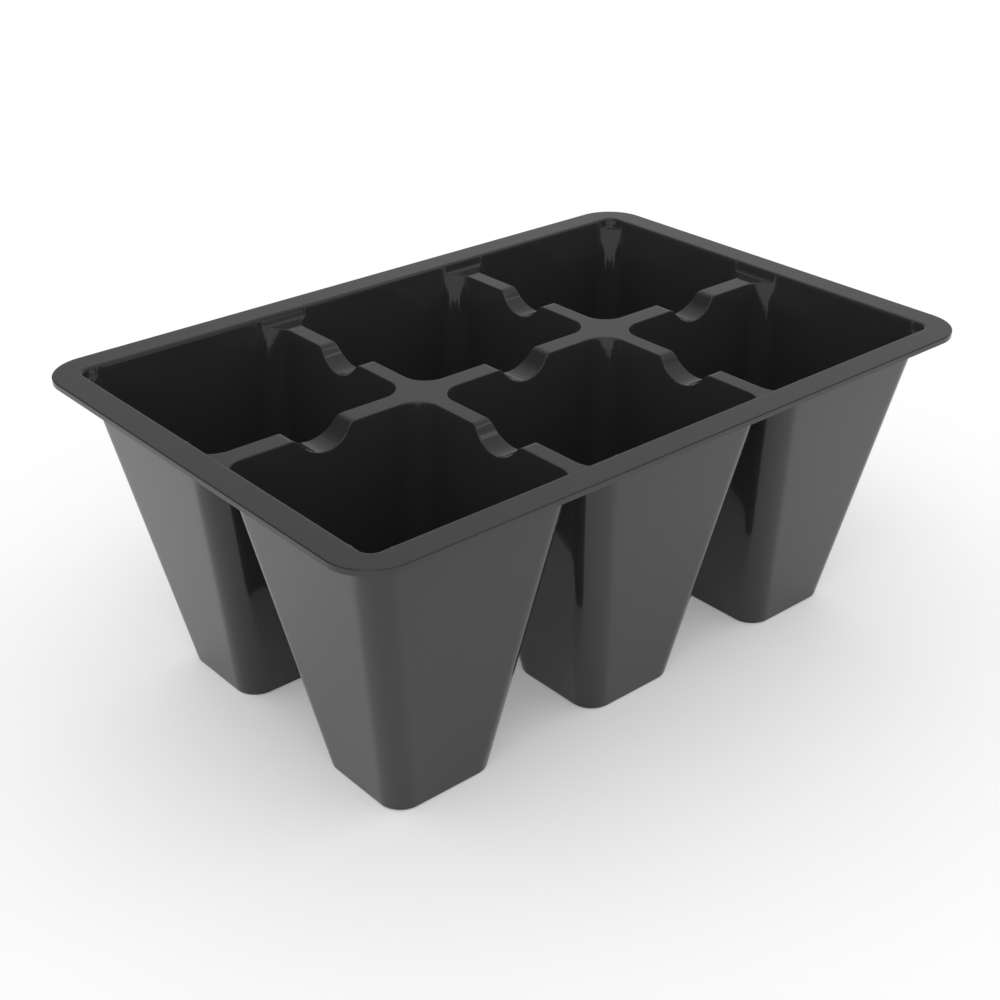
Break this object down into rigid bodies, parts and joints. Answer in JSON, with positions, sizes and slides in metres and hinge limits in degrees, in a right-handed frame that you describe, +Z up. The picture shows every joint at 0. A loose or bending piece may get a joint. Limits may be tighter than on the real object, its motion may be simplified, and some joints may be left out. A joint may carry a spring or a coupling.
{
  "type": "seedling tray",
  "caption": "Thin black plastic insert with square tapering pots joined by a flat rim and low webs with rounded dips.",
  "frame": {"origin": "middle of the underside of the feet, where the tray stands", "axes": "+X along the long side of the rim, +Y along the short side, +Z up through the open tops of the pots"},
  "size_m": [0.134, 0.0914, 0.0557],
  "materials": {
    "black_plastic": "black polystyrene sheet with a satin sheen"
  },
  "bodies": {
    "root": {"tray": "black_plastic"}
  },
  "joints": []
}
